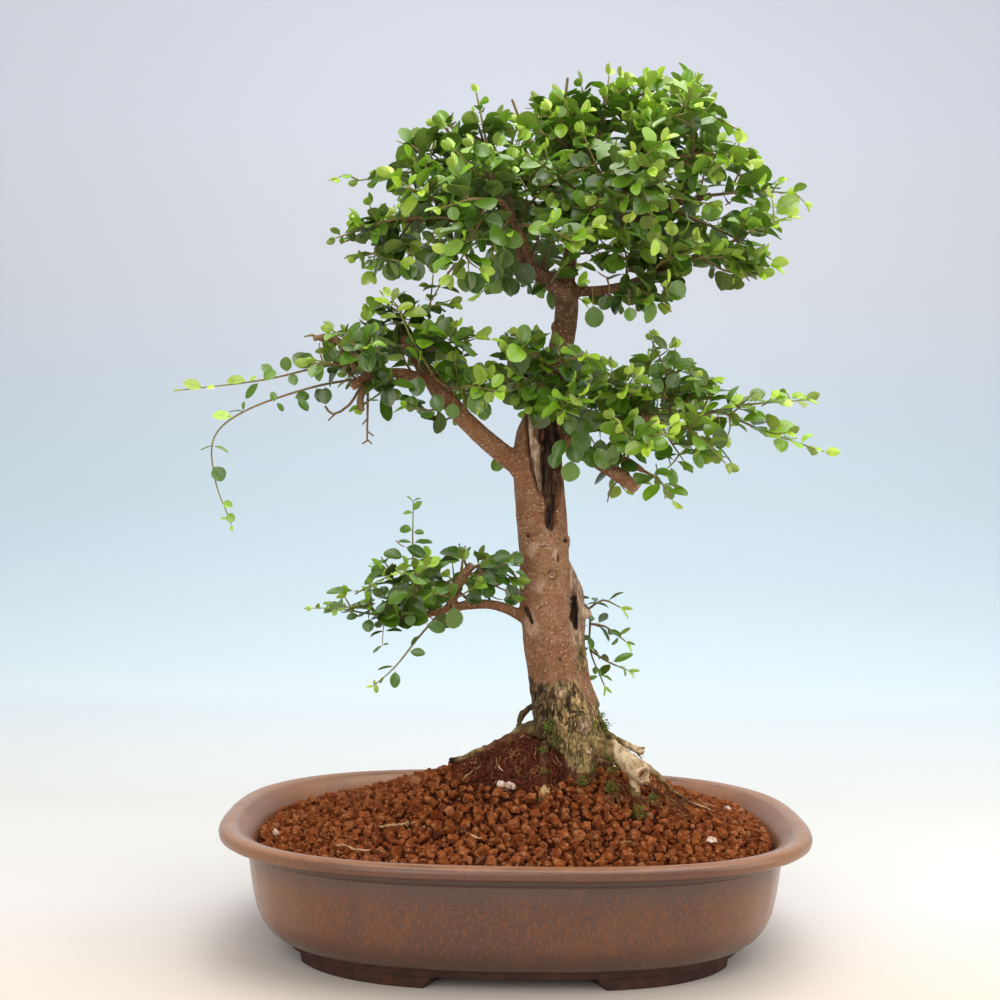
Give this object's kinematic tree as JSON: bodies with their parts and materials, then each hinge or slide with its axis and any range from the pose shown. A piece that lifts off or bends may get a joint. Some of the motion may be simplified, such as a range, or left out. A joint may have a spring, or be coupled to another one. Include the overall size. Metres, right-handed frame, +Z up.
{
  "type": "privet bonsai in pot",
  "caption": "Small leaning privet tree with leafy pads, surface roots and a hollowed trunk, growing in a soil-filled oval glazed pot on corner feet.",
  "frame": {"origin": "on the ground under the middle of the tree and pot", "axes": "+Z up along the tree, +X to the right seen from the front, -Y towards the viewer at the front"},
  "size_m": [0.4069, 0.285, 0.5642],
  "materials": {
    "pot_glaze": "satin rust-brown glaze, mottled with blue-grey",
    "soil": "loose baked clay granules, matte red-brown",
    "bark": "smooth tan-grey bark with pale pores, rough and mossy at the base",
    "screen_plastic": "moulded black mesh",
    "foliage": "glossy green leaves, lime at the tips, on thin brown twigs"
  },
  "bodies": {
    "root": {"pot": "pot_glaze", "soil": "soil", "trunk": "bark", "drain_screen_left": "screen_plastic", "drain_screen_right": "screen_plastic", "spray_crown_left": "foliage", "spray_crown_left_low": "foliage", "spray_crown_left_front": "foliage", "spray_crown_left_back": "foliage", "spray_crown_left_top": "foliage", "spray_crown_front_left": "foliage", "spray_crown_front_low": "foliage", "spray_crown_top": "foliage", "spray_crown_top_right": "foliage", "spray_crown_top_front": "foliage", "spray_crown_right_top": "foliage", "spray_crown_right_back_top": "foliage", "spray_crown_right": "foliage", "spray_crown_right_low": "foliage", "spray_crown_right_back": "foliage", "spray_crown_back_right": "foliage", "spray_crown_back": "foliage", "spray_crown_fork_right": "foliage", "spray_crown_fork_low": "foliage", "spray_crown_front": "foliage", "spray_crown_front_mid": "foliage", "spray_crown_back_low": "foliage", "spray_crown_front_right": "foliage", "spray_mid_left_tip": "foliage", "spray_mid_left_hook": "foliage", "spray_mid_left_end": "foliage", "spray_mid_left_top": "foliage", "spray_mid_left_inner": "foliage", "spray_mid_left_front": "foliage", "spray_mid_left_back": "foliage", "spray_mid_left_low": "foliage", "spray_mid_right": "foliage", "spray_mid_right_upright": "foliage", "spray_mid_right_low": "foliage", "spray_mid_right_hanging": "foliage", "spray_mid_right_stub": "foliage", "spray_mid_right_front": "foliage", "spray_mid_right_back": "foliage", "spray_mid_right_top": "foliage", "spray_mid_front": "foliage", "spray_mid_front_low": "foliage", "spray_mid_back": "foliage", "spray_mid_back_right": "foliage", "spray_low_tip": "foliage", "spray_low_upright": "foliage", "spray_low_drooping": "foliage", "spray_low_stub": "foliage", "spray_low_back": "foliage", "spray_low_front": "foliage", "spray_low_left_top": "foliage", "spray_trunk_back": "foliage"}
  },
  "joints": []
}
